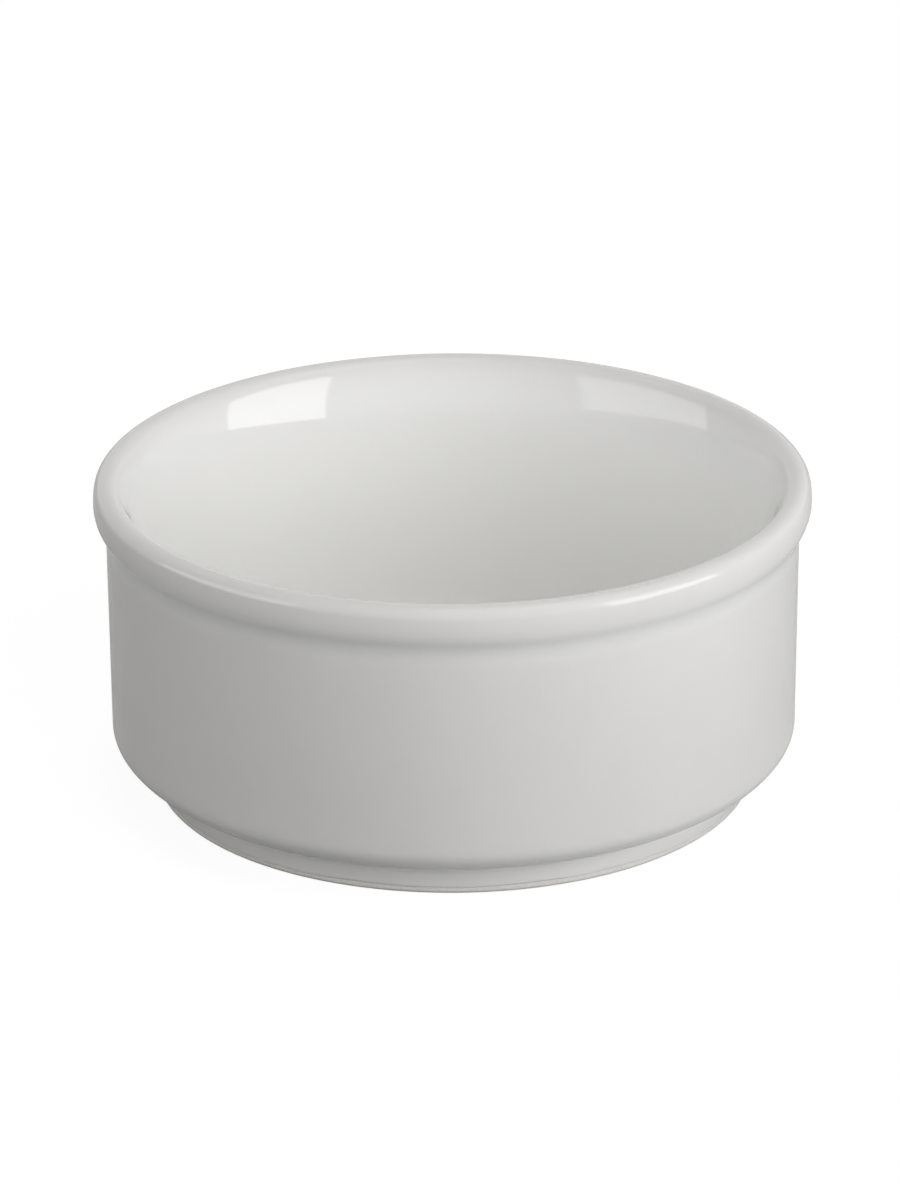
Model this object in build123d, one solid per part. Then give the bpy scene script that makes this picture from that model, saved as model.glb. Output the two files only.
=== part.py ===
from build123d import *
from collections import namedtuple
import math
import os

# A stacking ramekin of white glazed porcelain. It is one fired clay body, with a glaze fused over
# all of it but the foot ring that it stands on. Every surface is turned about the Z axis.
# The origin is the middle of the foot ring's resting plane, and +Z is up.

# Overall sizes, in millimetres
rim_diameter = 90.0
overall_height = 40.5

# Lip: a rolled band that stands out from the wall, to grip and to stack on. Inside, its crest eases
# down through two wider rounds, and each ends where the surface leans this far from upright.
lip_overhang = 1.75
lip_crown = 2.9
lip_underside_radius = 3.5
lip_face_radius = 10.8
lip_crest_radius = 1.7
lip_crease_radius = 5.0
crest_lean_degrees = 31.5
throat_radius = 12.7
throat_lean_degrees = 19.0
flare_radius = 33.0

# Wall: leans out a little, outside and inside, so that it leaves its mould
outer_draft_degrees = 0.4
inner_draft_degrees = 3.0

# Lower body: a rounded corner that rolls into a level ledge, which sits on the lip of the next one.
# The ledge's round is wider than the ledge by its bulge, and the corner's round cuts that off.
corner_radius = 2.7
ledge_width = 5.4
ledge_bulge = 0.7
ledge_height = 3.9
ledge_crease_radius = 0.8

# Foot ring
foot_resting_width = 2.4
foot_outer_edge_radius = 0.7
foot_inner_edge_radius = 0.7
foot_inner_draft_degrees = 14.0

# Hollow inside, and the shallow recess underneath
floor_height = 5.0
floor_corner_radius = 4.0
recess_height = 1.6
recess_corner_radius = 1.0

# Glaze: fused on all over, and wiped off the foot ring up to the glaze line
glaze_thickness = 0.3
glaze_line_height = 0.8

# One overrun for every cut, and the distance under which two points are the same
overrun = 1.0
same_point = 0.00001

# A turn is a round stretch of the section: where its centre lies (radius, height), its radius, and
# the direction in degrees that the surface faces where it starts and where it ends. The radius is
# positive where the surface bulges out and negative where it is hollow.
Turn = namedtuple("Turn", "centre radius starts ends")


def facing(degrees):
    """Unit direction in the section, from 0 degrees straight out to 90 degrees straight up."""
    return math.cos(math.radians(degrees)), math.sin(math.radians(degrees))


def moved(point, distance, degrees):
    """The point moved by a distance in the direction given in degrees."""
    across, up = facing(degrees)
    return point[0] + distance * across, point[1] + distance * up


def direction(start, end):
    """Direction in degrees from one point of the section to another."""
    return math.degrees(math.atan2(end[1] - start[1], end[0] - start[0]))


def level_of(point, degrees):
    """How far a point lies along the direction given in degrees."""
    across, up = facing(degrees)
    return point[0] * across + point[1] * up


def rolled_under(other, reach, level, degrees):
    """Centre of a round that lies at a level along a wall's facing and at a reach below another centre."""
    offset = level - level_of(other, degrees)
    drop = math.sqrt(reach**2 - offset**2)
    return moved(moved(other, offset, degrees), drop, degrees - 90)


def lip_turns(wall_faces, wall_level):
    """Rounds of the lip, from the crease under it over its face and crest to the inner wall."""
    rim_radius = rim_diameter / 2
    widest_height = overall_height - lip_crown
    underside = (rim_radius - lip_underside_radius, widest_height)
    face = (rim_radius - lip_face_radius, widest_height)
    crest_height = overall_height - lip_crest_radius
    crest_rise = crest_height - widest_height
    crest_reach = lip_face_radius - lip_crest_radius
    crest = (face[0] + math.sqrt(crest_reach**2 - crest_rise**2), crest_height)
    crease_reach = lip_underside_radius + lip_crease_radius
    crease = rolled_under(underside, crease_reach, wall_level + lip_crease_radius, wall_faces)
    into_crease = direction(underside, crease)
    over_crest = direction(face, crest)
    off_crest = 180 - crest_lean_degrees
    below_throat = 180 - throat_lean_degrees
    throat = moved(crest, lip_crest_radius - throat_radius, off_crest)
    flare = moved(throat, throat_radius - flare_radius, below_throat)
    return [
        Turn(crease, -lip_crease_radius, wall_faces, into_crease),
        Turn(underside, lip_underside_radius, into_crease, 0),
        Turn(face, lip_face_radius, 0, over_crest),
        Turn(crest, lip_crest_radius, over_crest, off_crest),
        Turn(throat, throat_radius, off_crest, below_throat),
        Turn(flare, flare_radius, below_throat, 180 - inner_draft_degrees),
    ]


def lower_turns(foot_radius, wall_faces, wall_level):
    """Rounds from the crease over the foot, along the ledge and round the corner to the wall."""
    ledge_radius = ledge_width + ledge_bulge
    ledge = (foot_radius, ledge_height + ledge_radius)
    corner_reach = ledge_radius - corner_radius
    corner = rolled_under(ledge, corner_reach, wall_level - corner_radius, wall_faces)
    crease_reach = ledge_radius + ledge_crease_radius
    crease = rolled_under(ledge, crease_reach, foot_radius + ledge_crease_radius, 0)
    onto_ledge = direction(ledge, crease)
    round_corner = direction(ledge, corner)
    return [
        Turn(crease, -ledge_crease_radius, 0, onto_ledge),
        Turn(ledge, ledge_radius, onto_ledge, round_corner),
        Turn(corner, corner_radius, round_corner, wall_faces),
    ]


def foot_turns(foot_radius):
    """Rounds of the recess's corner and of the foot ring's two edges."""
    faces = foot_inner_draft_degrees - 180
    outer_edge = (foot_radius - foot_outer_edge_radius, foot_outer_edge_radius)
    inner_edge = (outer_edge[0] - foot_resting_width, foot_inner_edge_radius)
    side_level = level_of(inner_edge, faces) + foot_inner_edge_radius
    across, up = facing(faces)
    corner_height = recess_height - recess_corner_radius
    corner_level = side_level + recess_corner_radius
    corner = ((corner_level - corner_height * up) / across, corner_height)
    return [
        Turn(corner, -recess_corner_radius, -90, faces),
        Turn(inner_edge, foot_inner_edge_radius, faces, -90),
        Turn(outer_edge, foot_outer_edge_radius, -90, 0),
    ]


def floor_turn(flare):
    """Round of the corner between the inner wall and the floor."""
    faces = 180 - inner_draft_degrees
    across, up = facing(faces)
    level = level_of(flare.centre, faces) + flare.radius + floor_corner_radius
    height = floor_height + floor_corner_radius
    return Turn(((level - height * up) / across, height), -floor_corner_radius, faces, 90)


def section_turns():
    """Every round of the glazed section, from the recess outwards, up over the lip and down inside."""
    wall_radius = rim_diameter / 2 - lip_overhang
    wall_faces = -outer_draft_degrees
    wall_level = level_of((wall_radius, 0), wall_faces)
    foot_radius = wall_radius - ledge_width
    foot = foot_turns(foot_radius)
    lower = lower_turns(foot_radius, wall_faces, wall_level)
    lip = lip_turns(wall_faces, wall_level)
    return foot + lower + lip + [floor_turn(lip[-1])]


def section_face(depth):
    """Half section of everything that lies deeper than a depth under the visible surface."""
    edges = []
    before = None
    for turn in section_turns():
        reach = turn.radius - depth
        middle_faces = (turn.starts + turn.ends) / 2
        places = [moved(turn.centre, reach, faces) for faces in (turn.starts, middle_faces, turn.ends)]
        start, middle, end = [Vector(place[0], 0, place[1]) for place in places]
        if before is None:
            before = Vector(0, 0, start.Z)
            lowest = before
        if (start - before).length > same_point:
            edges.append(Line(before, start))
        edges.append(ThreePointArc(start, middle, end))
        before = end
    highest = Vector(0, 0, before.Z)
    edges.append(Line(before, highest))
    edges.append(Line(highest, lowest))
    return Face(Wire(edges))


def bare_band():
    """Half section of the band from the resting plane up to the glaze line."""
    width = rim_diameter / 2
    corners = [(0, -overrun), (width, -overrun), (width, glaze_line_height), (0, glaze_line_height)]
    return Face(Wire.make_polygon([Vector(across, 0, up) for across, up in corners]))


def write(name, section):
    """Turn a half section about Z and write it as a part of that name."""
    solid = revolve(section, Axis.Z, 360).solid()
    solid.label = name
    export_step(solid, f"parts/{name}.step")


os.makedirs("parts", exist_ok=True)

glazed = section_face(0)
clay = section_face(glaze_thickness) + (glazed & bare_band())
glaze_faces = (glazed - clay).faces().sort_by(SortBy.AREA)

write("porcelain_body", clay.face())
write("underside_glaze", glaze_faces[0])
write("glaze_coat", glaze_faces[-1])
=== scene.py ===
"""A stacking ramekin of white glazed porcelain: its glaze, its bare clay foot and the studio around it."""
from collections import namedtuple

import bpy
import numpy as np
from mathutils import Matrix, Vector


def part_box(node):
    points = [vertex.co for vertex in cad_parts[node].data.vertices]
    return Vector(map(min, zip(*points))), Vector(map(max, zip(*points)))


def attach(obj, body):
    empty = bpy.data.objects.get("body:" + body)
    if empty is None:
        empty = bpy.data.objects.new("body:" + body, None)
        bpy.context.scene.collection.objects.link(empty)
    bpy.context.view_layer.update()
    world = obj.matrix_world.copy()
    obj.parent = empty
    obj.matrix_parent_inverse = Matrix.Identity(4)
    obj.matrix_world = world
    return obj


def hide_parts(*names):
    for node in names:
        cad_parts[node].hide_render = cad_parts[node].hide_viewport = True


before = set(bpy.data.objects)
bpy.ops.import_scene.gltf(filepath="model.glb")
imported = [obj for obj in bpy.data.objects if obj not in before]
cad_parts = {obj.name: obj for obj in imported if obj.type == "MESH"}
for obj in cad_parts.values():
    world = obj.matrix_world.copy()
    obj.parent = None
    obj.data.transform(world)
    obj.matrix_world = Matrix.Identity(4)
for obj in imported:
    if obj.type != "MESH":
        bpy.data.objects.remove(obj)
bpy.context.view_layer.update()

bl_info = {
    "name": "Stacking Ramekin",
    "version": (1, 0, 0),
    "blender": (4, 5, 0),
    "location": "View3D > Sidebar > Ramekin",
    "description": "Builds a glazed porcelain ramekin from a few sizes, with the studio that shows it",
    "category": "Object",
}

MM = 0.001
COAT_LOW, COAT_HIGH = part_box("glaze_coat")
RECESS_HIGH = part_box("underside_glaze")[1]

# Directions in the section: 0 faces straight out, a quarter turn straight up.
OUT = 0.0
UP = np.pi / 2
DOWN = -np.pi / 2
INWARD = np.pi

# How finely the section is cut into rows: the step along it, and the most that it turns in one step.
ROW_STEP = 0.5 * MM
ROW_TURN = np.radians(10)
SAME_POINT = ROW_STEP / 100

# Unevenness of the fired glaze. All of it goes inward, so the ramekin never outgrows its sizes.
SWELL_DEPTH = 0.024 * MM
SWELL_SHORTEST = 9 * MM
SWELL_LONGEST = 24 * MM
RIPPLE_DEPTH = 0.004 * MM
RIPPLE_SHORTEST = 3.0 * MM
RIPPLE_LONGEST = 6.0 * MM
WAVE_COUNT = 24

# The edge of the glaze on the foot ring: rolled, a little swollen, and wiped by hand, so it wanders.
EDGE_WANDER = 0.12 * MM
EDGE_WANDER_WAVES = (3, 5, 8, 13, 21, 34)
EDGE_SWELL = 0.02 * MM
EDGE_REACH = 0.45 * MM
EDGE_ROWS = 7

# The hidden side of the glaze, against the clay, keeps only one row in so many.
HIDDEN_ROWS = 3

# One seed for each piece, so that its unevenness is the same every time.
BODY_SEED = 11
COAT_SEED = 21
UNDERSIDE_SEED = 31

# The clay is level with the glaze on the resting face and sinks under it towards the glaze line.
CLAY_LEVEL_UP_TO = 0.3 * MM
CLAY_COVERED_FROM = 0.95 * MM

# How far along the section a bend draws the liquid glaze and how strongly, how much painted light
# whitens what faces down and the inside, and from how far past the lip's top the inside's is full.
RUN_REACH = 0.8 * MM
RUN_STRENGTH = 0.9 * MM
DOWNWARD_PAINTED_LIGHT = 2.5
INSIDE_PAINTED_LIGHT = 0.6
INSIDE_LIGHT_WITHIN = 5 * MM

# Glaze flow with painted light, from which the thin and the whiter colour show in full.
FULLY_THIN = -0.7
FULLY_POOLED_AND_LIT = 0.85

# Patterns in the glaze and the clay: how large they are, how deep, and how much of them shows.
CLOUD_SIZE = 12 * MM
CLOUD_SHARE = 0.15
PEEL_SIZE = 1.8 * MM
PEEL_DEPTH = 0.002 * MM
GRAIN_SIZE = 0.35 * MM
GRAIN_DEPTH = 0.02 * MM
GRINDING_SPACING = 0.25 * MM
GRINDING_DEPTH = 0.01 * MM
RUB_SIZE = 9 * MM
RUB_HEIGHT = 0.25 * MM
RUB_SHARE = 0.5

# How rough each surface is, from 0 for a mirror to 1 for chalk, and how strongly all of them refract.
COAT_ROUGHNESS = 0.06
UNDERSIDE_ROUGHNESS = 0.12
CLAY_ROUGHNESS = 0.72
REFRACTION = 1.5

# Places of the inputs and the output that a Mix node uses for colours.
MIX_FACTOR = 0
MIX_FIRST = 6
MIX_SECOND = 7
MIX_COLOUR = 2

# Softboxes stand upright. Each faces the ramekin along its direction, and reaches from one end to
# the other measured sideways from there, in metres. The places come from their images in the glaze.
Softbox = namedtuple("Softbox", "towards distance first_end second_end bottom top")
RIGHT_SOFTBOX = Softbox(np.radians(302), 0.70, 0.19, 1.02, 0.04, 0.56)
LEFT_SOFTBOX = Softbox(np.radians(225), 0.70, -1.08, -0.05, 0.14, 0.54)
OVERHEAD_SIZE = 1.0
OVERHEAD_PLACE = Vector((0.35, -0.25, 1.25))

# Fill panels only soften the shadows, and the glaze doesn't mirror them. Each has the direction that
# it stands in and how high it is seen, both in degrees.
Fill = namedtuple("Fill", "towards lift")
BACK_FILL = Fill(90, 40)
LEFT_FILL = Fill(150, 45)
FRONT_FILL = Fill(285, 28)
FILL_DISTANCE = 1.2
FILL_WIDTH = 1.6
FILL_HEIGHT = 0.7

# The tabletop. As it lights the ramekin, its colour holds painted light right beside the foot, a band
# of painted shadow around that, pale card again where it is open, and painted shade towards the left.
FLOOR_REACH = 4.0
FOOT_LIGHT_SPAN = (48 * MM, 66 * MM)
SHADOW_TO_OPEN_FLOOR = (100 * MM, 130 * MM)
LEFT_SHADE_TO_RIGHT = (-80 * MM, 20 * MM)

# Upward share of the direction between which the light from below gives way to the light around.
HORIZON = (-0.1, 0.0)

# Width in millimetres of the camera's sensor, along the image's long side.
SENSOR_WIDTH = 36.0


def linear(hex_colour):
    """An sRGB colour in hex as linear red, green and blue."""
    channels = np.array([int(hex_colour[place : place + 2], 16) for place in (1, 3, 5)]) / 255
    low = channels / 12.92
    high = ((channels + 0.055) / 1.055) ** 2.4
    return tuple(float(value) for value in np.where(channels <= 0.04045, low, high))


def length(name, description, default):
    """A size in metres."""
    return bpy.props.FloatProperty(
        name=name, description=description, default=default, unit="LENGTH", precision=5
    )


def angle(name, description, degrees):
    """An angle, given here in degrees."""
    return bpy.props.FloatProperty(
        name=name, description=description, default=float(np.radians(degrees)), subtype="ANGLE"
    )


def colour(name, description, hex_colour):
    """A colour, given here as sRGB hex."""
    return bpy.props.FloatVectorProperty(
        name=name, description=description, default=linear(hex_colour), subtype="COLOR", min=0, max=1
    )


def amount(name, description, default):
    """A plain number."""
    return bpy.props.FloatProperty(name=name, description=description, default=default)


class RamekinSizes(bpy.types.PropertyGroup):
    """Sizes of the section that every surface is turned from."""

    rim_diameter: length("Rim diameter", "Across the widest of the lip", COAT_HIGH.x - COAT_LOW.x)
    height: length("Height", "From the foot ring to the top of the lip", COAT_HIGH.z)
    lip_overhang: length("Lip overhang", "How far the lip stands out past the wall", 1.75 * MM)
    lip_crown: length("Lip crown", "From the lip's widest place up to its top", 2.9 * MM)
    lip_underside: length("Lip underside", "Radius of the lip's lower round", 3.5 * MM)
    lip_face: length("Lip face", "Radius of the lip's nearly upright face", 10.8 * MM)
    lip_crest: length("Lip crest", "Radius of the round at the top of the lip", 1.7 * MM)
    lip_crease: length("Lip crease", "Radius of the hollow between lip and wall", 5.0 * MM)
    crest_lean: angle("Crest lean", "Lean from upright where the crest ends inside", 31.5)
    throat: length("Throat", "Radius of the round under the crest inside", 12.7 * MM)
    throat_lean: angle("Throat lean", "Lean from upright where that round ends", 19.0)
    flare: length("Flare", "Radius of the long round down to the inner wall", 33.0 * MM)
    outer_draft: angle("Outer draft", "Lean of the wall outside", 0.4)
    inner_draft: angle("Inner draft", "Lean of the wall inside", 3.0)
    corner: length("Corner", "Radius of the corner under the wall", 2.7 * MM)
    ledge_width: length("Ledge width", "From the foot ring out to the wall", 5.4 * MM)
    ledge_bulge: length("Ledge bulge", "How much wider than the ledge its round is", 0.7 * MM)
    ledge_height: length("Ledge height", "Lowest place of the ledge", 3.9 * MM)
    ledge_crease: length("Ledge crease", "Radius of the hollow over the foot ring", 0.8 * MM)
    foot_rest: length("Foot rest", "Flat width of the foot ring's resting face", 2.4 * MM)
    foot_edge: length("Foot edge", "Radius of both edges of the foot ring", 0.7 * MM)
    foot_draft: angle("Foot draft", "Lean of the foot ring inside the recess", 14.0)
    floor_height: length("Floor height", "Top of the floor inside", 5.0 * MM)
    floor_corner: length("Floor corner", "Radius between the floor and the inner wall", 4.0 * MM)
    glaze: length("Glaze", "Thickness of the glaze", 0.3 * MM)
    recess_height: length("Recess height", "Glazed ceiling of the recess", RECESS_HIGH.z - 0.3 * MM)
    recess_corner: length("Recess corner", "Radius round the edge of the recess", 1.0 * MM)
    glaze_line: length("Glaze line", "Where the glaze ends on the foot ring", COAT_LOW.z)
    around: bpy.props.IntProperty(
        name="Steps around", description="Mesh steps once around", default=256, min=32
    )


class RamekinColours(bpy.types.PropertyGroup):
    """Colours of the glaze and the bare clay."""

    glaze: colour("Glaze", "Opaque white glaze", "#F0EFED")
    # This whiter glaze is also painted light on creases, on what faces down and on the inside.
    pooled_and_painted_light: colour("Pooled glaze", "Whiter glaze where it lies thick", "#FDFDFB")
    thin: colour("Thin glaze", "Glaze drawn thin over an edge, with the clay's warmth behind it", "#F0EEEB")
    clay: colour("Bare clay", "Fired body where it isn't glazed", "#E4E3E0")
    clay_grain: colour("Clay grain", "Coarser grains in the fired body", "#DCDAD6")
    clay_rubbed: colour("Rubbed clay", "Body greyed by shelves and trays", "#C3C1BC")


class RamekinStudio(bpy.types.PropertyGroup):
    """The camera and the light around the ramekin."""

    distance: length("Camera distance", "From the camera to the point that it aims at", 0.8)
    aim_height: length("Aim height", "Height that the camera aims at", 20 * MM)
    camera_lift: angle("Camera lift", "How far the camera looks down", 22.588)
    camera_roll: angle("Camera roll", "Turn about the line of sight", 0.3245)
    lens: amount("Lens", "Focal length in millimetres", 189.96)
    shift_across: amount("Shift across", "Sideways shift, in shares of the image's long side", -0.002638)
    shift_up: amount("Shift up", "Upward shift, in shares of the image's long side", 0.020288)
    mirrored_floor: colour("Mirrored floor", "White tabletop, as the glaze mirrors it", "#F3F3F2")
    shadow_share: amount("Shadow share", "How much of its shadow the white floor shows", 0.2)
    # The floor at the foot, in the band around it and at the left is painted light and shade in the card's
    # colour.
    painted_foot_light: amount("Floor at the foot", "How pale the floor is right beside the foot", 0.42)
    painted_floor_shadow: amount("Floor near the foot", "How pale the band of floor around that is", 0.2)
    floor_far: amount("Open floor", "How pale the floor is away from the ramekin", 0.97)
    painted_left_shade: amount("Floor at the left", "Share of that which its left side gives back", 0.28)
    surround: amount("Surround", "Strength of the even light from all around", 0.03)
    below: amount("From below", "Strength of the even light that reaches the underside", 0.7)
    right: amount("Right softbox", "Brightness of the softbox at the right", 3.35)
    left: amount("Left softbox", "Brightness of the softbox at the left", 1.7)
    overhead: amount("Overhead softbox", "Brightness of the softbox overhead", 0.7)
    back_fill: amount("Back fill", "Brightness of the fill panel at the back", 1.1)
    left_fill: amount("Left fill", "Brightness of the fill panel at the left", 0.36)
    front_fill: amount("Front fill", "Brightness of the fill panel at the front", 1.68)


def facing(angles):
    """Unit directions in the section: the cosine of each angle outwards and its sine upwards."""
    return np.stack([np.cos(angles), np.sin(angles)], axis=-1)


def bearing(start, end):
    """Angle of the direction from one point of the section to another."""
    return float(np.arctan2(end[1] - start[1], end[0] - start[0]))


def crossing(level, lean, height):
    """Point at a height whose distance along the direction of a lean is the level."""
    across, up = facing(lean)
    return np.array([(level - height * up) / across, height])


def rolled_under(other, reach, level, lean):
    """Centre of a round at a level along a leaning wall's facing, and at a reach below another centre."""
    offset = level - other @ facing(lean)
    drop = np.sqrt(reach**2 - offset**2)
    return other + offset * facing(lean) + drop * facing(lean + DOWN)


def lip_turns(size, wall_faces, wall_level):
    """Rounds of the lip, from the crease under it over its face and crest to the inner wall."""
    rim = size.rim_diameter / 2
    widest = size.height - size.lip_crown
    underside = np.array([rim - size.lip_underside, widest])
    face = np.array([rim - size.lip_face, widest])
    rise = size.lip_crown - size.lip_crest
    crest = face + [np.sqrt((size.lip_face - size.lip_crest) ** 2 - rise**2), rise]
    crease_reach = size.lip_underside + size.lip_crease
    crease = rolled_under(underside, crease_reach, wall_level + size.lip_crease, wall_faces)
    into_crease = bearing(underside, crease)
    over_crest = bearing(face, crest)
    off_crest = INWARD - size.crest_lean
    below_throat = INWARD - size.throat_lean
    throat = crest + (size.lip_crest - size.throat) * facing(off_crest)
    flare = throat + (size.throat - size.flare) * facing(below_throat)
    inner_faces = INWARD - size.inner_draft
    floor_level = flare @ facing(inner_faces) + size.flare + size.floor_corner
    floor = crossing(floor_level, inner_faces, size.floor_height + size.floor_corner)
    return [
        (crease, -size.lip_crease, wall_faces, into_crease),
        (underside, size.lip_underside, into_crease, OUT),
        (face, size.lip_face, OUT, over_crest),
        (crest, size.lip_crest, over_crest, off_crest),
        (throat, size.throat, off_crest, below_throat),
        (flare, size.flare, below_throat, inner_faces),
        (floor, -size.floor_corner, inner_faces, UP),
    ]


def section_turns(size):
    """Rounds of the glazed section, each as centre, radius and the angles that it faces from and to.

    They run from the recess outwards, up the outside, over the lip and down the inside. A radius is
    positive where the surface bulges out. Neighbours face the same way where they meet.
    """
    wall = size.rim_diameter / 2 - size.lip_overhang
    foot = wall - size.ledge_width
    wall_faces = -size.outer_draft
    wall_level = wall * np.cos(wall_faces)

    foot_faces = size.foot_draft - INWARD
    outer_edge = np.array([foot - size.foot_edge, size.foot_edge])
    inner_edge = outer_edge - [size.foot_rest, 0]
    recess_level = inner_edge @ facing(foot_faces) + size.foot_edge + size.recess_corner
    recess = crossing(recess_level, foot_faces, size.recess_height - size.recess_corner)

    ledge_round = size.ledge_width + size.ledge_bulge
    ledge = np.array([foot, size.ledge_height + ledge_round])
    corner = rolled_under(ledge, ledge_round - size.corner, wall_level - size.corner, wall_faces)
    crease = rolled_under(ledge, ledge_round + size.ledge_crease, foot + size.ledge_crease, OUT)
    onto_ledge = bearing(ledge, crease)
    round_corner = bearing(ledge, corner)
    return [
        (recess, -size.recess_corner, DOWN, foot_faces),
        (inner_edge, size.foot_edge, foot_faces, DOWN),
        (outer_edge, size.foot_edge, DOWN, OUT),
        (crease, -size.ledge_crease, OUT, onto_ledge),
        (ledge, ledge_round, onto_ledge, round_corner),
        (corner, size.corner, round_corner, wall_faces),
    ] + lip_turns(size, wall_faces, wall_level)


def section_outline(size):
    """The visible section from the recess's middle to the floor's, as points and angles that they face.

    A round gives centre + radius * direction, and the direction turns evenly from its first angle to
    its last. A straight stretch gives points evenly between two rounds and faces as they do there.
    """
    points = []
    angles = []
    before = np.array([0.0, size.recess_height])
    for centre, radius, first, last in section_turns(size):
        start = centre + radius * facing(first)
        steps = int(np.linalg.norm(start - before) / ROW_STEP)
        shares = np.arange(1, steps + 1)[:, None] / (steps + 1)
        points.append(before + shares * (start - before))
        angles.append(np.full(steps, first))
        turned = abs(last - first)
        bends = int(max(abs(radius) * turned / ROW_STEP, turned / ROW_TURN)) + 2
        turn = np.linspace(first, last, bends)
        points.append(centre + radius * facing(turn))
        angles.append(turn)
        before = points[-1][-1]
    steps = int(before[0] / ROW_STEP)
    across = np.linspace(before[0], 0, steps + 2)[1:-1]
    points.append(np.stack([across, np.full(steps, before[1])], axis=-1))
    angles.append(np.full(steps, UP))
    points = np.concatenate(points)
    angles = np.concatenate(angles)
    apart = np.linalg.norm(np.diff(points, axis=0), axis=1)
    kept = np.concatenate([[True], apart > SAME_POINT])
    return points[kept], angles[kept]


def distance_along(points):
    """Distance along the outline from its first point to each point."""
    steps = np.linalg.norm(np.diff(points, axis=0), axis=1)
    return np.concatenate([[0.0], np.cumsum(steps)])


def glaze_run_and_painted_light(points, angles):
    """How the glaze ran, plus painted light: below 0 where an edge drew it thin, above 0 where it whitens.

    It lies thick in creases, which whitens them as thick glaze does and also lifts their shade as
    painted light, and painted light whitens what faces down and the inside. The first is the bend of
    the outline (change of facing over distance), turned in sign, the second the downward share of the
    facing, and the third grows along the outline from the highest point. They are averaged along the
    outline with bell-shaped weights, and their sum is squeezed to lie between -1 and 1.
    """
    along = distance_along(points)
    bend = np.gradient(angles, along)
    weights = np.exp(-(((along[:, None] - along[None]) / RUN_REACH) ** 2)) * np.gradient(along)
    past_crest = along - along[np.argmax(points[:, 1])]
    # Painted light: what faces down and the inside are whitened against their shade; creases are whitened as
    # thick glaze and against their shade.
    thickness_and_painted_light = (
        DOWNWARD_PAINTED_LIGHT * np.clip(-np.sin(angles), 0, 1)
        + INSIDE_PAINTED_LIGHT * np.clip(past_crest / INSIDE_LIGHT_WITHIN, 0, 1)
        - RUN_STRENGTH * bend
    )
    return np.tanh((weights @ thickness_and_painted_light) / weights.sum(axis=1))


def gentle_waves(places, seed, shortest, longest):
    """Sum of plane waves at places in space, from -1 to 1.

    Each wave is the sine of the place's distance along a seeded direction, in seeded wavelengths.
    """
    chance = np.random.default_rng(seed)
    directions = chance.normal(size=(3, WAVE_COUNT))
    directions /= np.linalg.norm(directions, axis=0)
    wavelengths = chance.uniform(shortest, longest, WAVE_COUNT)
    phases = chance.uniform(0, 2 * np.pi, WAVE_COUNT)
    waves = np.sin(places @ (directions * 2 * np.pi / wavelengths) + phases)
    return np.clip(waves.sum(axis=-1) / (2 * np.sqrt(WAVE_COUNT)), -1, 1)


def turned(points, angles, outward, forward, columns):
    """Points in space of a section turned about Z, one row for each of its points.

    Each place is the section's point, moved outward along the direction that it faces and forward
    along the section, then carried round Z by its column's share of a full turn.
    """
    across, up = np.moveaxis(facing(angles), -1, 0)[..., None]
    radius = points[:, :1] + across * outward - up * forward
    height = points[:, 1:] + up * outward + across * forward
    turn = np.arange(columns) * 2 * np.pi / columns
    height = height + np.zeros(columns)
    return np.stack([radius * np.cos(turn), radius * np.sin(turn), height], axis=-1)


def closed_mesh(name, grid, run_and_light):
    """Mesh of a grid of points, rows along the section and columns around, with the glaze's flow and painted
    light.

    Its last column joins its first, and a point on the axis closes each end at its row's mean height.
    """
    rows, columns = grid.shape[:2]
    poles = np.zeros((2, 3))
    poles[:, 2] = grid[[0, -1], :, 2].mean(axis=1)
    corners = np.arange(rows * columns).reshape(rows, columns)
    beside = np.roll(corners, -1, axis=1)
    quads = np.stack([corners[:-1], beside[:-1], beside[1:], corners[1:]], axis=-1).reshape(-1, 4)
    pole = np.full(columns, rows * columns)
    first_fan = np.stack([pole, beside[0], corners[0]], axis=-1)
    last_fan = np.stack([pole + 1, corners[-1], beside[-1]], axis=-1)
    mesh = bpy.data.meshes.new(name)
    mesh.from_pydata(
        np.concatenate([grid.reshape(-1, 3), poles]).tolist(),
        [],
        quads.tolist() + first_fan.tolist() + last_fan.tolist(),
    )
    mesh.polygons.foreach_set("use_smooth", np.ones(len(mesh.polygons), dtype=bool))
    attribute = mesh.attributes.new("glaze_run_and_painted_light", "FLOAT", "POINT")
    values = np.concatenate([np.repeat(run_and_light, columns), run_and_light[[0, -1]]])
    attribute.data.foreach_set("value", values.astype(np.float32))
    mesh.update()
    return mesh


def placed(name, mesh, material):
    """The mesh as a piece of that name, with its material, riding on the body and standing for its node."""
    mesh.materials.append(material)
    piece = bpy.data.objects.new(name + "_piece", mesh)
    bpy.context.scene.collection.objects.link(piece)
    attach(piece, "root")
    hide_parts(name)
    return piece


def line_crossings(points, line):
    """Distances along the outline where it passes the height of the glaze line on the foot ring."""
    along = distance_along(points)
    over = points[:, 1] - line
    before = np.flatnonzero(np.sign(over[:-1]) != np.sign(over[1:]))
    share = over[before] / (over[before] - over[before + 1])
    return along[before] + share * (along[before + 1] - along[before])


def stretch(points, angles, start, end):
    """The part of the outline between two distances along it, with a point exactly at each of them."""
    along = distance_along(points)
    places = np.concatenate([[start], along[(along > start) & (along < end)], [end]])
    across = np.interp(places, along, points[:, 0])
    up = np.interp(places, along, points[:, 1])
    return np.stack([across, up], axis=-1), np.interp(places, along, angles)


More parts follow.
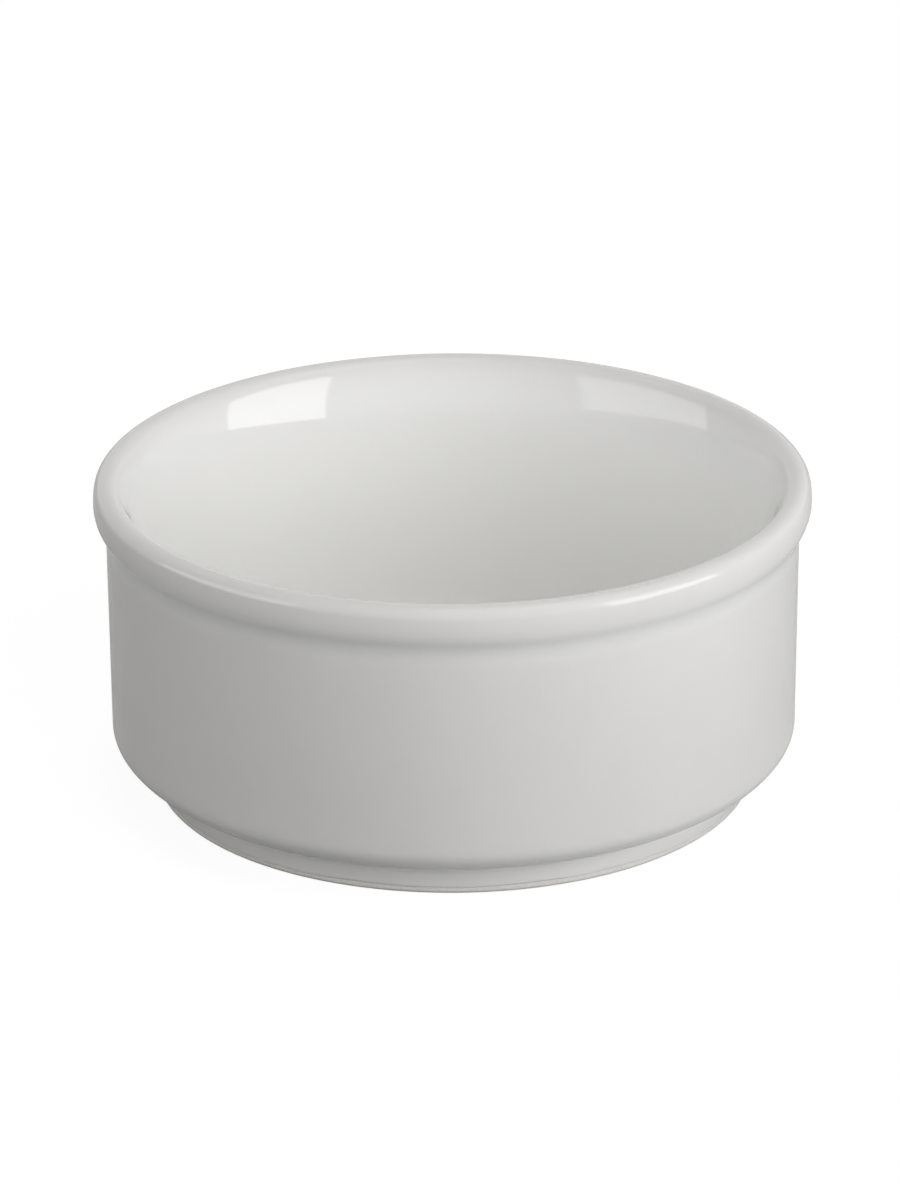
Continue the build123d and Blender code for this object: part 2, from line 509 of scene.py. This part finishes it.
def glaze_skin(size, name, seed, inside_first):
    """Closed skin of glaze over one part of the outline.

    Its visible side is the outline, lowered by gentle waves. Its hidden side is the same outline, one
    glaze thickness deeper. Both end in an edge of half-round section at the glaze line, whose place
    along the outline is a sum of sines around.
    """
    outline, outline_angles = section_outline(size)
    to_inner_line, to_outer_line = line_crossings(outline, size.glaze_line)[:2]
    half = size.glaze / 2
    whole = distance_along(outline)[-1]
    if inside_first:
        span = (to_outer_line + half, whole)
    else:
        span = (0.0, to_inner_line - half)
    points, angles = stretch(outline, outline_angles, *span)
    run_and_light = np.interp(
        distance_along(points) + span[0], distance_along(outline), glaze_run_and_painted_light(outline, outline_angles)
    )
    edge = 0 if inside_first else -1
    from_edge = abs(distance_along(points) - distance_along(points)[edge])[:, None]

    turn = np.arange(size.around) * 2 * np.pi / size.around
    chance = np.random.default_rng(seed)
    waves = np.array(EDGE_WANDER_WAVES)[:, None]
    phases = chance.uniform(0, 2 * np.pi, waves.shape)
    wander = EDGE_WANDER * (np.sin(waves * turn + phases) / np.sqrt(waves)).sum(axis=0)
    wander = wander - wander.min() if inside_first else wander - wander.max()

    at_rest = turned(points, angles, 0.0, 0.0, size.around)
    swell = gentle_waves(at_rest, seed, SWELL_SHORTEST, SWELL_LONGEST)
    ripple = gentle_waves(at_rest, seed + 1, RIPPLE_SHORTEST, RIPPLE_LONGEST)
    lowered = SWELL_DEPTH * (1 - swell) / 2 + RIPPLE_DEPTH * (1 - ripple) / 2
    rolled = EDGE_SWELL * np.exp(-(((from_edge - EDGE_REACH) / EDGE_REACH) ** 2))
    shift = wander * np.exp(-from_edge / EDGE_REACH)
    outer = turned(points, angles, rolled - lowered, shift, size.around)
    inner = turned(points, angles, -size.glaze, shift, size.around)

    bend = np.linspace(0, np.pi, EDGE_ROWS + 2)[1:-1, None]
    edge_points = np.repeat(points[[edge]], EDGE_ROWS, axis=0)
    edge_angles = np.repeat(angles[[edge]], EDGE_ROWS)
    raised = (rolled - lowered)[edge]
    depth = (size.glaze + raised) / 2
    rounding = turned(
        edge_points,
        edge_angles,
        raised - depth * (1 + np.cos(bend)) if inside_first else raised - depth * (1 - np.cos(bend)),
        wander - half * np.sin(bend) if inside_first else wander + half * np.sin(bend),
        size.around,
    )
    edge_run_and_light = np.full(EDGE_ROWS, run_and_light[edge])
    hidden = slice(None, None, -HIDDEN_ROWS)
    if inside_first:
        grid = np.concatenate([inner[hidden], rounding, outer[:-1]])
        return closed_mesh(name, grid, np.concatenate([run_and_light[hidden], edge_run_and_light, run_and_light[:-1]]))
    grid = np.concatenate([outer[1:], rounding, inner[hidden]])
    return closed_mesh(name, grid, np.concatenate([run_and_light[1:], edge_run_and_light, run_and_light[hidden]]))


def clay_mesh(size, name, seed):
    """The fired clay: the outline, sunk by the glaze's thickness wherever glaze lies over it.

    The sinking grows from nothing at the resting face to the glaze's thickness at the glaze line,
    as a smooth step of the height.
    """
    points, angles = section_outline(size)
    share = (points[:, 1] - CLAY_LEVEL_UP_TO) / (CLAY_COVERED_FROM - CLAY_LEVEL_UP_TO)
    share = np.clip(share, 0, 1)
    sunk = size.glaze * share**2 * (3 - 2 * share)
    at_rest = turned(points, angles, 0.0, 0.0, size.around)
    swell = gentle_waves(at_rest, seed, SWELL_SHORTEST, SWELL_LONGEST)
    resting = points[:, 1:] < SAME_POINT
    lowered = np.where(resting, 0.0, SWELL_DEPTH * (1 - swell) / 2)
    grid = turned(points, angles, -sunk[:, None] - lowered, 0.0, size.around)
    return closed_mesh(name, grid, glaze_run_and_painted_light(points, angles))


def add_node(tree, kind, inputs=None, **settings):
    """Adds a node with its settings. Each input is a value, or another node's output to link to it."""
    node = tree.nodes.new(kind)
    for key, value in settings.items():
        setattr(node, key, value)
    for key, value in (inputs or {}).items():
        if isinstance(value, bpy.types.NodeSocket):
            tree.links.new(value, node.inputs[key])
        else:
            node.inputs[key].default_value = value
    return node


def new_material(name):
    """An empty node material and its tree."""
    material = bpy.data.materials.new(name)
    material.use_nodes = True
    material.node_tree.nodes.clear()
    return material, material.node_tree


def opaque(colour_value):
    """A colour with full opacity added."""
    return (*colour_value, 1.0)


def glaze_material(name, colours, roughness):
    """Hard white tableware glaze, dipped or sprayed on and melted glossy at about 1250 degrees.

    It gives a clear mirror image over a milky white body, with the faint swell of a melted surface,
    a purer white where it ran thick into a crease and a warmer one where an edge drew it thin. The
    purer white is also painted light that lifts the shade in creases, on what faces down and inside.
    """
    material, tree = new_material(name)
    place = add_node(tree, "ShaderNodeTexCoord").outputs["Object"]
    run_and_light = add_node(tree, "ShaderNodeAttribute", attribute_name="glaze_run_and_painted_light").outputs["Fac"]

    # Milkiness varies softly over about 12 mm, as the opacifier settles unevenly.
    cloud = add_node(
        tree,
        "ShaderNodeTexNoise",
        {"Vector": place, "Scale": 1 / CLOUD_SIZE, "Detail": 2.0, "Roughness": 0.5},
    ).outputs["Fac"]
    # Painted light: the whiter glaze of pools also lifts the shade in creases, on what faces down and inside.
    pooled_and_painted_light = add_node(
        tree,
        "ShaderNodeMapRange",
        {"Value": run_and_light, "From Min": 0.0, "From Max": FULLY_POOLED_AND_LIT, "To Min": 0.0, "To Max": 1.0},
    ).outputs["Result"]
    drawn = add_node(
        tree,
        "ShaderNodeMapRange",
        {"Value": run_and_light, "From Min": FULLY_THIN, "From Max": 0.0, "To Min": 1.0, "To Max": 0.0},
    ).outputs["Result"]
    clouded = add_node(
        tree,
        "ShaderNodeMapRange",
        {"Value": cloud, "From Min": 0.3, "From Max": 0.7, "To Min": 0.0, "To Max": CLOUD_SHARE},
    ).outputs["Result"]
    base = add_node(
        tree,
        "ShaderNodeMix",
        {MIX_FACTOR: clouded, MIX_FIRST: opaque(colours.glaze), MIX_SECOND: opaque(colours.pooled_and_painted_light)},
        data_type="RGBA",
    ).outputs[MIX_COLOUR]
    with_pools_and_light = add_node(
        tree,
        "ShaderNodeMix",
        {MIX_FACTOR: pooled_and_painted_light, MIX_FIRST: base, MIX_SECOND: opaque(colours.pooled_and_painted_light)},
        data_type="RGBA",
    ).outputs[MIX_COLOUR]
    with_edges = add_node(
        tree,
        "ShaderNodeMix",
        {MIX_FACTOR: drawn, MIX_FIRST: with_pools_and_light, MIX_SECOND: opaque(colours.thin)},
        data_type="RGBA",
    ).outputs[MIX_COLOUR]

    # Orange peel of the melted surface, about 1.8 mm from crest to crest and 2 thousandths deep.
    peel = add_node(
        tree, "ShaderNodeTexNoise", {"Vector": place, "Scale": 1 / PEEL_SIZE, "Detail": 1.0}
    ).outputs["Fac"]
    bumped = add_node(
        tree, "ShaderNodeBump", {"Height": peel, "Strength": 1.0, "Distance": PEEL_DEPTH}
    ).outputs["Normal"]
    shader = add_node(
        tree,
        "ShaderNodeBsdfPrincipled",
        {"Base Color": with_edges, "Roughness": roughness, "IOR": REFRACTION, "Normal": bumped},
    )
    add_node(tree, "ShaderNodeOutputMaterial", {"Surface": shader.outputs["BSDF"]})
    return material


def clay_material(name, colours):
    """Fired porcelain body, wiped free of glaze and ground flat on a disc.

    It is matt and warm white, with a fine grain, faint rings from the grinding and a grey rub where
    the ring slides over shelves and trays.
    """
    material, tree = new_material(name)
    place = add_node(tree, "ShaderNodeTexCoord").outputs["Object"]

    # Grains of 0.35 mm are the coarsest in the body and the finest that show.
    grain = add_node(
        tree, "ShaderNodeTexNoise", {"Vector": place, "Scale": 1 / GRAIN_SIZE, "Detail": 3.0}
    ).outputs["Fac"]
    grains = add_node(
        tree,
        "ShaderNodeMapRange",
        {"Value": grain, "From Min": 0.45, "From Max": 0.7, "To Min": 0.0, "To Max": 1.0},
    ).outputs["Result"]
    body = add_node(
        tree,
        "ShaderNodeMix",
        {MIX_FACTOR: grains, MIX_FIRST: opaque(colours.clay), MIX_SECOND: opaque(colours.clay_grain)},
        data_type="RGBA",
    ).outputs[MIX_COLOUR]

    # Rings left by grinding lie 0.25 mm apart, and read the distance from the axis.
    flat = add_node(tree, "ShaderNodeVectorMath", {0: place, 1: (1, 1, 0)}, operation="MULTIPLY")
    radius = add_node(tree, "ShaderNodeVectorMath", {0: flat.outputs["Vector"]}, operation="LENGTH")
    ring = add_node(
        tree,
        "ShaderNodeTexNoise",
        {"W": radius.outputs["Value"], "Scale": 1 / GRINDING_SPACING, "Detail": 2.0},
        noise_dimensions="1D",
    ).outputs["Fac"]

    # Rubbed patches are some 9 mm long and lie only on the lowest quarter of a millimetre.
    height = add_node(tree, "ShaderNodeSeparateXYZ", {"Vector": place}).outputs["Z"]
    lowest = add_node(
        tree,
        "ShaderNodeMapRange",
        {"Value": height, "From Min": 0.0, "From Max": RUB_HEIGHT, "To Min": 1.0, "To Max": 0.0},
    ).outputs["Result"]
    patch = add_node(
        tree, "ShaderNodeTexNoise", {"Vector": place, "Scale": 1 / RUB_SIZE, "Detail": 4.0}
    ).outputs["Fac"]
    patches = add_node(
        tree,
        "ShaderNodeMapRange",
        {"Value": patch, "From Min": 0.45, "From Max": 0.65, "To Min": 0.0, "To Max": RUB_SHARE},
    ).outputs["Result"]
    rub = add_node(tree, "ShaderNodeMath", {0: lowest, 1: patches}, operation="MULTIPLY").outputs["Value"]
    rubbed = add_node(
        tree,
        "ShaderNodeMix",
        {MIX_FACTOR: rub, MIX_FIRST: body, MIX_SECOND: opaque(colours.clay_rubbed)},
        data_type="RGBA",
    ).outputs[MIX_COLOUR]

    ground = add_node(
        tree, "ShaderNodeBump", {"Height": ring, "Strength": 0.6, "Distance": GRINDING_DEPTH}
    ).outputs["Normal"]
    gritty = add_node(
        tree, "ShaderNodeBump", {"Height": grain, "Strength": 0.7, "Distance": GRAIN_DEPTH, "Normal": ground}
    ).outputs["Normal"]
    shader = add_node(
        tree,
        "ShaderNodeBsdfPrincipled",
        {"Base Color": rubbed, "Roughness": CLAY_ROUGHNESS, "IOR": REFRACTION, "Normal": gritty},
    )
    add_node(tree, "ShaderNodeOutputMaterial", {"Surface": shader.outputs["BSDF"]})
    return material


def seen_directly(tree):
    """1 for what the camera sees, directly or in a mirror or glass, and 0 for the light on things."""
    rays = add_node(tree, "ShaderNodeLightPath").outputs
    mirrored = add_node(
        tree, "ShaderNodeMath", {0: rays["Is Camera Ray"], 1: rays["Is Glossy Ray"]}, operation="ADD"
    )
    return add_node(
        tree,
        "ShaderNodeMath",
        {0: mirrored.outputs["Value"], 1: rays["Is Transmission Ray"]},
        operation="ADD",
        use_clamp=True,
    ).outputs["Value"]


def floor_material(studio):
    """Matt card tabletop that looks white but for the shadow, and can be looked through from below.

    The glaze mirrors it as white card with its whole shadow. The light that it gives back to the
    ramekin is that of card with painted shade in its colour: a band of painted shadow around the foot,
    painted light right beside it and painted shade towards the left.
    """
    material, tree = new_material("matt_card_tabletop")
    place = add_node(tree, "ShaderNodeTexCoord").outputs["Object"]
    radius = add_node(tree, "ShaderNodeVectorMath", {0: place}, operation="LENGTH").outputs["Value"]
    # Painted shadow: a dark band of card around the foot, pale again on the open floor.
    outward = add_node(
        tree,
        "ShaderNodeMapRange",
        {
            "Value": radius,
            "From Min": SHADOW_TO_OPEN_FLOOR[0],
            "From Max": SHADOW_TO_OPEN_FLOOR[1],
            "To Min": studio.painted_floor_shadow,
            "To Max": studio.floor_far,
        },
        interpolation_type="SMOOTHSTEP",
    ).outputs["Result"]
    # Painted light: paler card right beside the foot.
    beside = add_node(
        tree,
        "ShaderNodeMapRange",
        {
            "Value": radius,
            "From Min": FOOT_LIGHT_SPAN[0],
            "From Max": FOOT_LIGHT_SPAN[1],
            "To Min": studio.painted_foot_light,
            "To Max": 0.0,
        },
        interpolation_type="SMOOTHSTEP",
    ).outputs["Result"]
    painted_shadow_and_light = add_node(tree, "ShaderNodeMath", {0: outward, 1: beside}, operation="MAXIMUM").outputs["Value"]
    # Painted shade: the card darkens towards the left.
    across = add_node(tree, "ShaderNodeSeparateXYZ", {"Vector": place}).outputs["X"]
    side = add_node(
        tree,
        "ShaderNodeMapRange",
        {
            "Value": across,
            "From Min": LEFT_SHADE_TO_RIGHT[0],
            "From Max": LEFT_SHADE_TO_RIGHT[1],
            "To Min": studio.painted_left_shade,
            "To Max": 1.0,
        },
    ).outputs["Result"]
    pale = add_node(tree, "ShaderNodeMath", {0: painted_shadow_and_light, 1: side}, operation="MULTIPLY").outputs["Value"]
    card = add_node(tree, "ShaderNodeBsdfDiffuse", {"Color": pale})
    mirrored = add_node(tree, "ShaderNodeBsdfDiffuse", {"Color": opaque(studio.mirrored_floor)})
    shaded = add_node(tree, "ShaderNodeBsdfDiffuse", {"Color": (*[studio.shadow_share] * 3, 1.0)})
    white = add_node(tree, "ShaderNodeEmission", {"Strength": 1.0 - 0.5 * studio.shadow_share})
    shown = add_node(tree, "ShaderNodeAddShader", {0: shaded.outputs["BSDF"], 1: white.outputs["Emission"]})
    in_glaze = add_node(
        tree,
        "ShaderNodeMixShader",
        {0: seen_directly(tree), 1: card.outputs["BSDF"], 2: mirrored.outputs["BSDF"]},
    )
    by_camera = add_node(tree, "ShaderNodeLightPath").outputs["Is Camera Ray"]
    chosen = add_node(
        tree, "ShaderNodeMixShader", {0: by_camera, 1: in_glaze.outputs["Shader"], 2: shown.outputs["Shader"]}
    )
    from_below = add_node(tree, "ShaderNodeNewGeometry").outputs["Backfacing"]
    open_below = add_node(tree, "ShaderNodeBsdfTransparent")
    surface = add_node(
        tree,
        "ShaderNodeMixShader",
        {0: from_below, 1: chosen.outputs["Shader"], 2: open_below.outputs["BSDF"]},
    )
    add_node(tree, "ShaderNodeOutputMaterial", {"Surface": surface.outputs["Shader"]})
    return material


def add_floor(studio, size):
    """The tabletop, a level ring that starts at the outer edge of the foot ring's resting face."""
    inner = size.rim_diameter / 2 - size.lip_overhang - size.ledge_width - size.foot_edge
    radii = np.array([inner, FLOOR_REACH])[:, None]
    turn = np.arange(size.around) * 2 * np.pi / size.around
    grid = np.stack([radii * np.cos(turn), radii * np.sin(turn), radii * 0 * turn], axis=-1)
    corners = np.arange(2 * size.around).reshape(2, size.around)
    beside = np.roll(corners, -1, axis=1)
    quads = np.stack([corners[0], corners[1], beside[1], beside[0]], axis=-1)
    mesh = bpy.data.meshes.new("tabletop")
    mesh.from_pydata(grid.reshape(-1, 3).tolist(), [], quads.tolist())
    mesh.materials.append(floor_material(studio))
    floor = bpy.data.objects.new("tabletop", mesh)
    bpy.context.scene.collection.objects.link(floor)


def add_world(studio):
    """Dim even light from all around, which looks white to the camera and in mirror images.

    It is stronger from below, where the tabletop keeps it from all but the underside.
    """
    world = bpy.data.worlds.new("studio")
    world.use_nodes = True
    tree = world.node_tree
    tree.nodes.clear()
    towards = add_node(tree, "ShaderNodeTexCoord").outputs["Generated"]
    upward = add_node(tree, "ShaderNodeSeparateXYZ", {"Vector": towards}).outputs["Z"]
    strength = add_node(
        tree,
        "ShaderNodeMapRange",
        {
            "Value": upward,
            "From Min": HORIZON[0],
            "From Max": HORIZON[1],
            "To Min": studio.below,
            "To Max": studio.surround,
        },
    ).outputs["Result"]
    dim = add_node(tree, "ShaderNodeBackground", {"Strength": strength})
    white = add_node(tree, "ShaderNodeBackground", {"Color": (1, 1, 1, 1), "Strength": 1.0})
    chosen = add_node(
        tree,
        "ShaderNodeMixShader",
        {0: seen_directly(tree), 1: dim.outputs["Background"], 2: white.outputs["Background"]},
    )
    add_node(tree, "ShaderNodeOutputWorld", {"Surface": chosen.outputs["Shader"]})
    bpy.context.scene.world = world


def add_panel_light(name, width, height, place, back, up, brightness, mirrored=True):
    """A flat lamp of even brightness, 1 for white. Its face looks away from the direction of its back."""
    lamp = bpy.data.lights.new(name, "AREA")
    lamp.shape = "RECTANGLE"
    lamp.size = width
    lamp.size_y = height
    lamp.energy = brightness * np.pi * width * height
    back = Vector(back).normalized()
    across = Vector(up).cross(back).normalized()
    light = bpy.data.objects.new(name, lamp)
    light.visible_glossy = mirrored
    turn = Matrix((across, back.cross(across), back)).transposed()
    light.matrix_world = Matrix.Translation(place) @ turn.to_4x4()
    bpy.context.scene.collection.objects.link(light)


def add_softbox(name, box, brightness):
    """A softbox that stands upright, facing the ramekin along its direction."""
    back = Vector((np.cos(box.towards), np.sin(box.towards), 0))
    along = Vector((-back.y, back.x, 0))
    middle = (box.first_end + box.second_end) / 2
    place = back * box.distance + along * middle + Vector((0, 0, (box.bottom + box.top) / 2))
    width = box.second_end - box.first_end
    height = box.top - box.bottom
    add_panel_light(name, width, height, place, back, (0, 0, 1), brightness)


def add_fill(name, fill, brightness):
    """A large soft panel that faces the ramekin from its direction and height."""
    towards, lift = np.radians(fill)
    back = Vector((np.cos(lift) * np.cos(towards), np.cos(lift) * np.sin(towards), np.sin(lift)))
    place = back * FILL_DISTANCE
    add_panel_light(name, FILL_WIDTH, FILL_HEIGHT, place, back, (0, 0, 1), brightness, mirrored=False)


def add_camera(studio):
    """A long lens that looks level along Y and down, with the photograph's small roll and shift."""
    lens = bpy.data.cameras.new("camera")
    lens.lens = studio.lens
    lens.sensor_width = SENSOR_WIDTH
    lens.shift_x = studio.shift_across
    lens.shift_y = studio.shift_up
    lift = studio.camera_lift
    back = Vector((0, -np.cos(lift), np.sin(lift)))
    across = Vector((1, 0, 0))
    up = back.cross(across)
    cosine, sine = np.cos(studio.camera_roll), np.sin(studio.camera_roll)
    rolled_across = across * cosine - up * sine
    rolled_up = up * cosine + across * sine
    camera = bpy.data.objects.new("camera", lens)
    turn = Matrix((rolled_across, rolled_up, back)).transposed()
    place = Vector((0, 0, studio.aim_height)) + back * studio.distance
    camera.matrix_world = Matrix.Translation(place) @ turn.to_4x4()
    bpy.context.scene.collection.objects.link(camera)
    bpy.context.scene.camera = camera


class RAMEKIN_OT_porcelain_body(bpy.types.Operator):
    """Turn the fired clay body, whose ground foot ring is the only bare part."""

    bl_idname = "ramekin.porcelain_body"
    bl_label = "Porcelain body"

    def execute(self, context):
        scene = context.scene
        mesh = clay_mesh(scene.ramekin_sizes, "porcelain_body", BODY_SEED)
        material = clay_material("ground_biscuit_porcelain", scene.ramekin_colours)
        placed("porcelain_body", mesh, material)
        return {"FINISHED"}


class RAMEKIN_OT_glaze_coat(bpy.types.Operator):
    """Lay the glaze over the wall, the lip and the inside, down to the glaze line on the foot ring."""

    bl_idname = "ramekin.glaze_coat"
    bl_label = "Glaze coat"

    def execute(self, context):
        scene = context.scene
        mesh = glaze_skin(scene.ramekin_sizes, "glaze_coat", COAT_SEED, inside_first=True)
        material = glaze_material("gloss_fired_white_glaze", scene.ramekin_colours, COAT_ROUGHNESS)
        placed("glaze_coat", mesh, material)
        return {"FINISHED"}


class RAMEKIN_OT_underside_glaze(bpy.types.Operator):
    """Lay the glaze in the recess underneath, out to the glaze line on the foot ring."""

    bl_idname = "ramekin.underside_glaze"
    bl_label = "Underside glaze"

    def execute(self, context):
        scene = context.scene
        mesh = glaze_skin(scene.ramekin_sizes, "underside_glaze", UNDERSIDE_SEED, inside_first=False)
        material = glaze_material("kiln_shelf_side_glaze", scene.ramekin_colours, UNDERSIDE_ROUGHNESS)
        placed("underside_glaze", mesh, material)
        return {"FINISHED"}


class RAMEKIN_OT_studio(bpy.types.Operator):
    """Set up the white tabletop, the softboxes, the surround and the camera."""

    bl_idname = "ramekin.studio"
    bl_label = "Studio"

    def execute(self, context):
        studio = context.scene.ramekin_studio
        add_floor(studio, context.scene.ramekin_sizes)
        add_world(studio)
        add_softbox("right_softbox", RIGHT_SOFTBOX, studio.right)
        add_softbox("left_softbox", LEFT_SOFTBOX, studio.left)
        add_panel_light(
            "overhead_softbox",
            OVERHEAD_SIZE,
            OVERHEAD_SIZE,
            OVERHEAD_PLACE,
            OVERHEAD_PLACE,
            (0, 1, 0),
            studio.overhead,
        )
        add_fill("back_fill", BACK_FILL, studio.back_fill)
        add_fill("left_fill", LEFT_FILL, studio.left_fill)
        add_fill("front_fill", FRONT_FILL, studio.front_fill)
        add_camera(studio)
        context.scene.view_settings.view_transform = "Standard"
        return {"FINISHED"}


class RAMEKIN_PT_panel(bpy.types.Panel):
    """Lists what builds the ramekin and the sizes, colours and lights that it uses."""

    bl_idname = "RAMEKIN_PT_panel"
    bl_label = "Stacking Ramekin"
    bl_space_type = "VIEW_3D"
    bl_region_type = "UI"
    bl_category = "Ramekin"

    def draw(self, context):
        scene = context.scene
        for operator in OPERATORS:
            self.layout.operator(operator.bl_idname)
        for group in (scene.ramekin_sizes, scene.ramekin_colours, scene.ramekin_studio):
            box = self.layout.box()
            for name in type(group).__annotations__:
                box.prop(group, name)


GROUPS = {
    "ramekin_sizes": RamekinSizes,
    "ramekin_colours": RamekinColours,
    "ramekin_studio": RamekinStudio,
}
OPERATORS = (
    RAMEKIN_OT_porcelain_body,
    RAMEKIN_OT_glaze_coat,
    RAMEKIN_OT_underside_glaze,
    RAMEKIN_OT_studio,
)


def register():
    for name, group in GROUPS.items():
        bpy.utils.register_class(group)
        setattr(bpy.types.Scene, name, bpy.props.PointerProperty(type=group))
    for part in (*OPERATORS, RAMEKIN_PT_panel):
        bpy.utils.register_class(part)


def unregister():
    for part in reversed((*OPERATORS, RAMEKIN_PT_panel)):
        bpy.utils.unregister_class(part)
    for name, group in reversed(GROUPS.items()):
        delattr(bpy.types.Scene, name)
        bpy.utils.unregister_class(group)


def main():
    """Builds every piece and the studio."""
    register()
    bpy.ops.ramekin.porcelain_body()
    bpy.ops.ramekin.glaze_coat()
    bpy.ops.ramekin.underside_glaze()
    bpy.ops.ramekin.studio()


if __name__ == "__main__":
    main()
